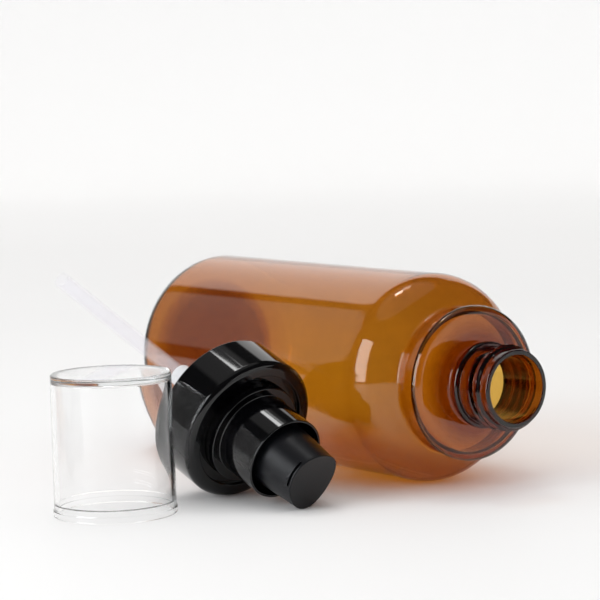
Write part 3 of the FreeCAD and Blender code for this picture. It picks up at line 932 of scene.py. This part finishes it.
CAMERA_AT = (0.65433, -0.43607, 0.12190)
CAMERA_BACK = (0.80806, -0.58070, 0.09910)
CAMERA_RIGHT = (0.58580, 0.80986, -0.03102)
SENSOR = 36.0           # millimetres, as is LENS
LENS = 149.43
FOCUS_AT = (0.122, -0.045, 0.020)
APERTURE = 45.0


def build_stage():
    """Round pale table that curves up into a low wall, so every side has the same backdrop."""
    bm = bmesh.new()
    flat = FLOOR_R - COVE_R
    path = [(0.0, 0.0), (0.3, 0.0), (0.8, 0.0), (flat, 0.0)]
    bends = 12
    for k in range(1, bends + 1):
        a = math.pi / 2 * k / bends
        path.append((flat + COVE_R * math.sin(a), COVE_R * (1 - math.cos(a))))
    path.append((FLOOR_R, WALL_TOP))
    rows = []
    for r, z in path:
        points = 96 if r else 1
        angles = [math.tau * k / points for k in range(points)]
        rows.append([bm.verts.new((r * math.cos(a), r * math.sin(a), z)) for a in angles])
    for a, b in zip(rows, rows[1:]):
        span(bm, b, a)
    mesh = bpy.data.meshes.new("stage")
    bm.to_mesh(mesh)
    bm.free()
    for polygon in mesh.polygons:
        polygon.use_smooth = True
    obj = add_object("stage", mesh)
    obj.location = ((cad_low.x + cad_high.x) / 2, (cad_low.y + cad_high.y) / 2, cad_low.z)
    mesh.materials.append(stage_material())


def stage_material():
    """Matt white; polished pieces look past the table's near side at the dark room."""
    n = new_nodes("stage_white")
    shader = n.add("ShaderNodeBsdfPrincipled")
    n.put(shader, "Base Color", n.colour(n.noise(3.0, 2.0), (0.85, 0.85, 0.85), (0.87, 0.87, 0.87)))
    n.put(shader, "Roughness", 0.6)
    n.put(shader, "Specular IOR Level", 0.2)
    reach = n.add("ShaderNodeVectorMath", operation="LENGTH")
    n.put(reach, 0, n.coord)
    reach = reach.outputs["Value"]
    n.put(shader, "Emission Color", (*WHITE, 1))
    n.put(shader, "Emission Strength", n.ramp(reach, 0.0, COVE_LIFT, 0.5, FLOOR_R))
    near_side = n.product(n.ramp(n.split()[1], 1.0, 0.0, -0.1, 0.25), n.ramp(reach, 0, 1, 0.4, 0.7))
    mirrored = n.add("ShaderNodeLightPath").outputs["Is Glossy Ray"]
    return n.finish(n.mix(n.product(near_side, mirrored), shader, n.add("ShaderNodeBsdfTransparent")))


def build_lamp(name, toward, distance, width, height, radiance, colour):
    """Area light that faces the object from a direction."""
    data = bpy.data.lights.new(name, "AREA")
    data.shape = "RECTANGLE"
    data.size = width
    data.size_y = height
    # radiance of a one-sided lambertian panel is power / (area * pi)
    data.energy = radiance * width * height * math.pi
    data.color = colour
    obj = add_object(name, data)
    direction = Vector(toward).normalized()
    obj.location = Vector(AIM) + direction * distance
    obj.rotation_mode = "QUATERNION"
    obj.rotation_quaternion = direction.to_track_quat("Z", "Y")


def build_world():
    """Even fill for matt surfaces; polished ones mirror a dim room with pale panels behind and left."""
    world = bpy.data.worlds.new("studio")
    bpy.context.scene.world = world
    world.cycles.sampling_method = "NONE"
    n = Nodes(world, "ShaderNodeOutputWorld", "Generated")
    east, north, up = n.split()
    degrees = 180 / math.pi
    around = n.math("ARCTAN2", north, east)
    around = n.math("ADD", around, n.product(n.math("LESS_THAN", around, 0.0), math.tau))
    azimuth = n.product(around, degrees)
    elevation = n.product(n.math("ARCSINE", up), degrees)

    def band(angle, low, high, soft):
        return n.product(n.ramp(angle, 0, 1, low - soft, low), n.ramp(angle, 1, 0, high, high + soft))

    def panel(az_low, az_high, el_low, el_high, soft):
        return n.product(band(azimuth, az_low, az_high, soft), band(elevation, el_low, el_high, soft))

    back = n.product(panel(*BACK_PANEL), n.ramp(azimuth, *BACK_LEVEL))
    left = n.product(panel(*LEFT_PANEL), LEFT_LEVEL)
    seen = n.math("ADD", n.math("ADD", n.ramp(elevation, *CEILING), ROOM), n.math("ADD", back, left))
    overhead = n.math("POWER", n.math("MAXIMUM", up, 0.0), 2.0)
    dome = n.math("ADD", FILL_LOW, n.product(overhead, FILL_TOP))
    path = n.add("ShaderNodeLightPath")

    def choose(kind, other, value):
        node = n.add("ShaderNodeMix", data_type="FLOAT")
        n.put(node, 0, path.outputs[kind])
        n.put(node, 2, other)
        n.put(node, 3, value)
        return node.outputs[0]

    level = choose("Is Transmission Ray", seen, n.math("MAXIMUM", seen, THROUGH))
    level = choose("Is Camera Ray", choose("Is Diffuse Ray", level, dome), BACKDROP)
    sky = n.add("ShaderNodeBackground")
    n.put(sky, "Color", (*SKY, 1))
    n.put(sky, "Strength", level)
    n.finish(sky)


def build_camera():
    """The photograph's viewpoint, with the focus between the pump and the bottle's neck."""
    data = bpy.data.cameras.new("camera")
    data.sensor_width = SENSOR
    data.lens = LENS
    data.clip_start = 0.02
    data.clip_end = 20.0
    obj = add_object("camera", data)
    back = Vector(CAMERA_BACK).normalized()
    right = Vector(CAMERA_RIGHT)
    right = (right - back * right.dot(back)).normalized()
    turn = Matrix((right, back.cross(right), back)).transposed().to_4x4()
    obj.matrix_world = Matrix.Translation(CAMERA_AT) @ turn
    focus = add_object("focus")
    focus.location = FOCUS_AT
    data.dof.use_dof = True
    data.dof.focus_object = focus
    data.dof.aperture_fstop = APERTURE
    bpy.context.scene.camera = obj


build_stage()
build_world()
for lamp in LAMPS:
    build_lamp(*lamp)
build_camera()

scene = bpy.context.scene
scene.view_settings.view_transform = "Standard"
scene.cycles.max_bounces = 32
scene.cycles.transmission_bounces = 32
scene.cycles.glossy_bounces = 12
scene.cycles.diffuse_bounces = 4
scene.cycles.transparent_max_bounces = 32
scene.cycles.caustics_reflective = False
scene.cycles.caustics_refractive = False
